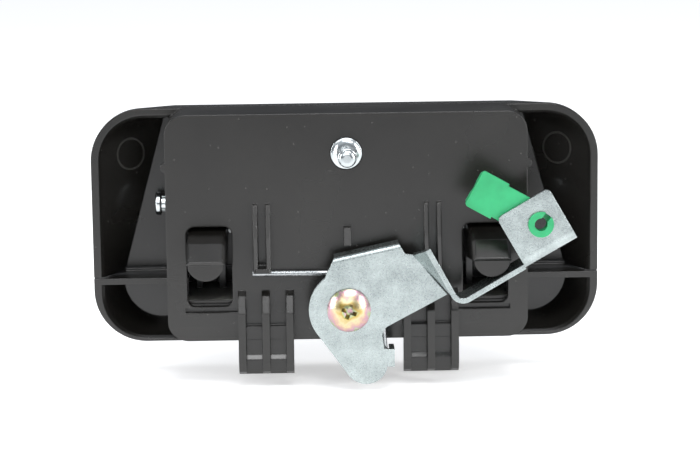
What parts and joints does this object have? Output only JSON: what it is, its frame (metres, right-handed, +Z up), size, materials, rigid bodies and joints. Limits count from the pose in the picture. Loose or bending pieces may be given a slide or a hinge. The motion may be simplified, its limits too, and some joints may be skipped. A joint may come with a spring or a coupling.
{
  "type": "car door handle",
  "caption": "Exterior flap handle of a car door: black moulded housing and lift-out flap, zinc-plated bell crank, return springs, mounting stud and latch rod clip.",
  "frame": {"origin": "axis of the mounting stud at the back wall's inboard face, where the stud's shank starts", "axes": "+X along the handle, to the right seen from inside the door; +Y out to the street; +Z up"},
  "size_m": [0.165, 0.062, 0.0849],
  "materials": {
    "black_moulding": "fine moulded, satin",
    "zinc_plate": "bright zinc plate on rolled sheet",
    "zinc_bright": "bright zinc plate on turned steel",
    "zinc_yellow": "yellow chromate, iridescent",
    "spring_wire": "drawn wire",
    "brass_insert": "machined",
    "stop_rubber": "moulded",
    "clip_green": "moulded acetal, satin"
  },
  "bodies": {
    "housing": {"housing": "black_moulding", "hinge_pin": "zinc_bright", "flap_spring_right": "spring_wire", "flap_spring_left": "spring_wire", "bump_stop_right": "stop_rubber", "bump_stop_left": "stop_rubber", "mounting_stud": "zinc_bright", "pivot_insert": "brass_insert", "thrust_washer": "zinc_bright", "pivot_sleeve": "zinc_bright", "pivot_screw": "zinc_yellow", "crank_spring": "spring_wire"},
    "flap": {"flap": "black_moulding"},
    "crank": {"bell_crank": "zinc_plate"},
    "clip": {"rod_clip": "clip_green"}
  },
  "joints": [
    {"name": "flap_hinge", "type": "hinge", "parent": "housing", "child": "flap", "pos_m": [0, 0.03, -0.0194], "axis": [1, 0, 0], "range_deg": [0, 16], "stiffness_Nm_per_rad": 0.5, "springref_deg": -34.38, "deforming": ["flap_spring_right", "flap_spring_left"]},
    {"name": "crank_pivot", "type": "hinge", "parent": "housing", "child": "crank", "pos_m": [0, -0.0109, -0.0482], "axis": [0, 1, 0], "range_deg": [0, 16], "stiffness_Nm_per_rad": 0.15, "springref_deg": -34.38, "deforming": ["crank_spring"]},
    {"name": "clip_swivel", "type": "hinge", "parent": "crank", "child": "clip", "pos_m": [0.05928, -0.0222, -0.02011], "axis": [0, 1, 0], "range_deg": [-10, 60]}
  ],
  "couplings": [
    {"joint": "crank_pivot", "follows": "flap_hinge", "ratio": 0.97}
  ]
}
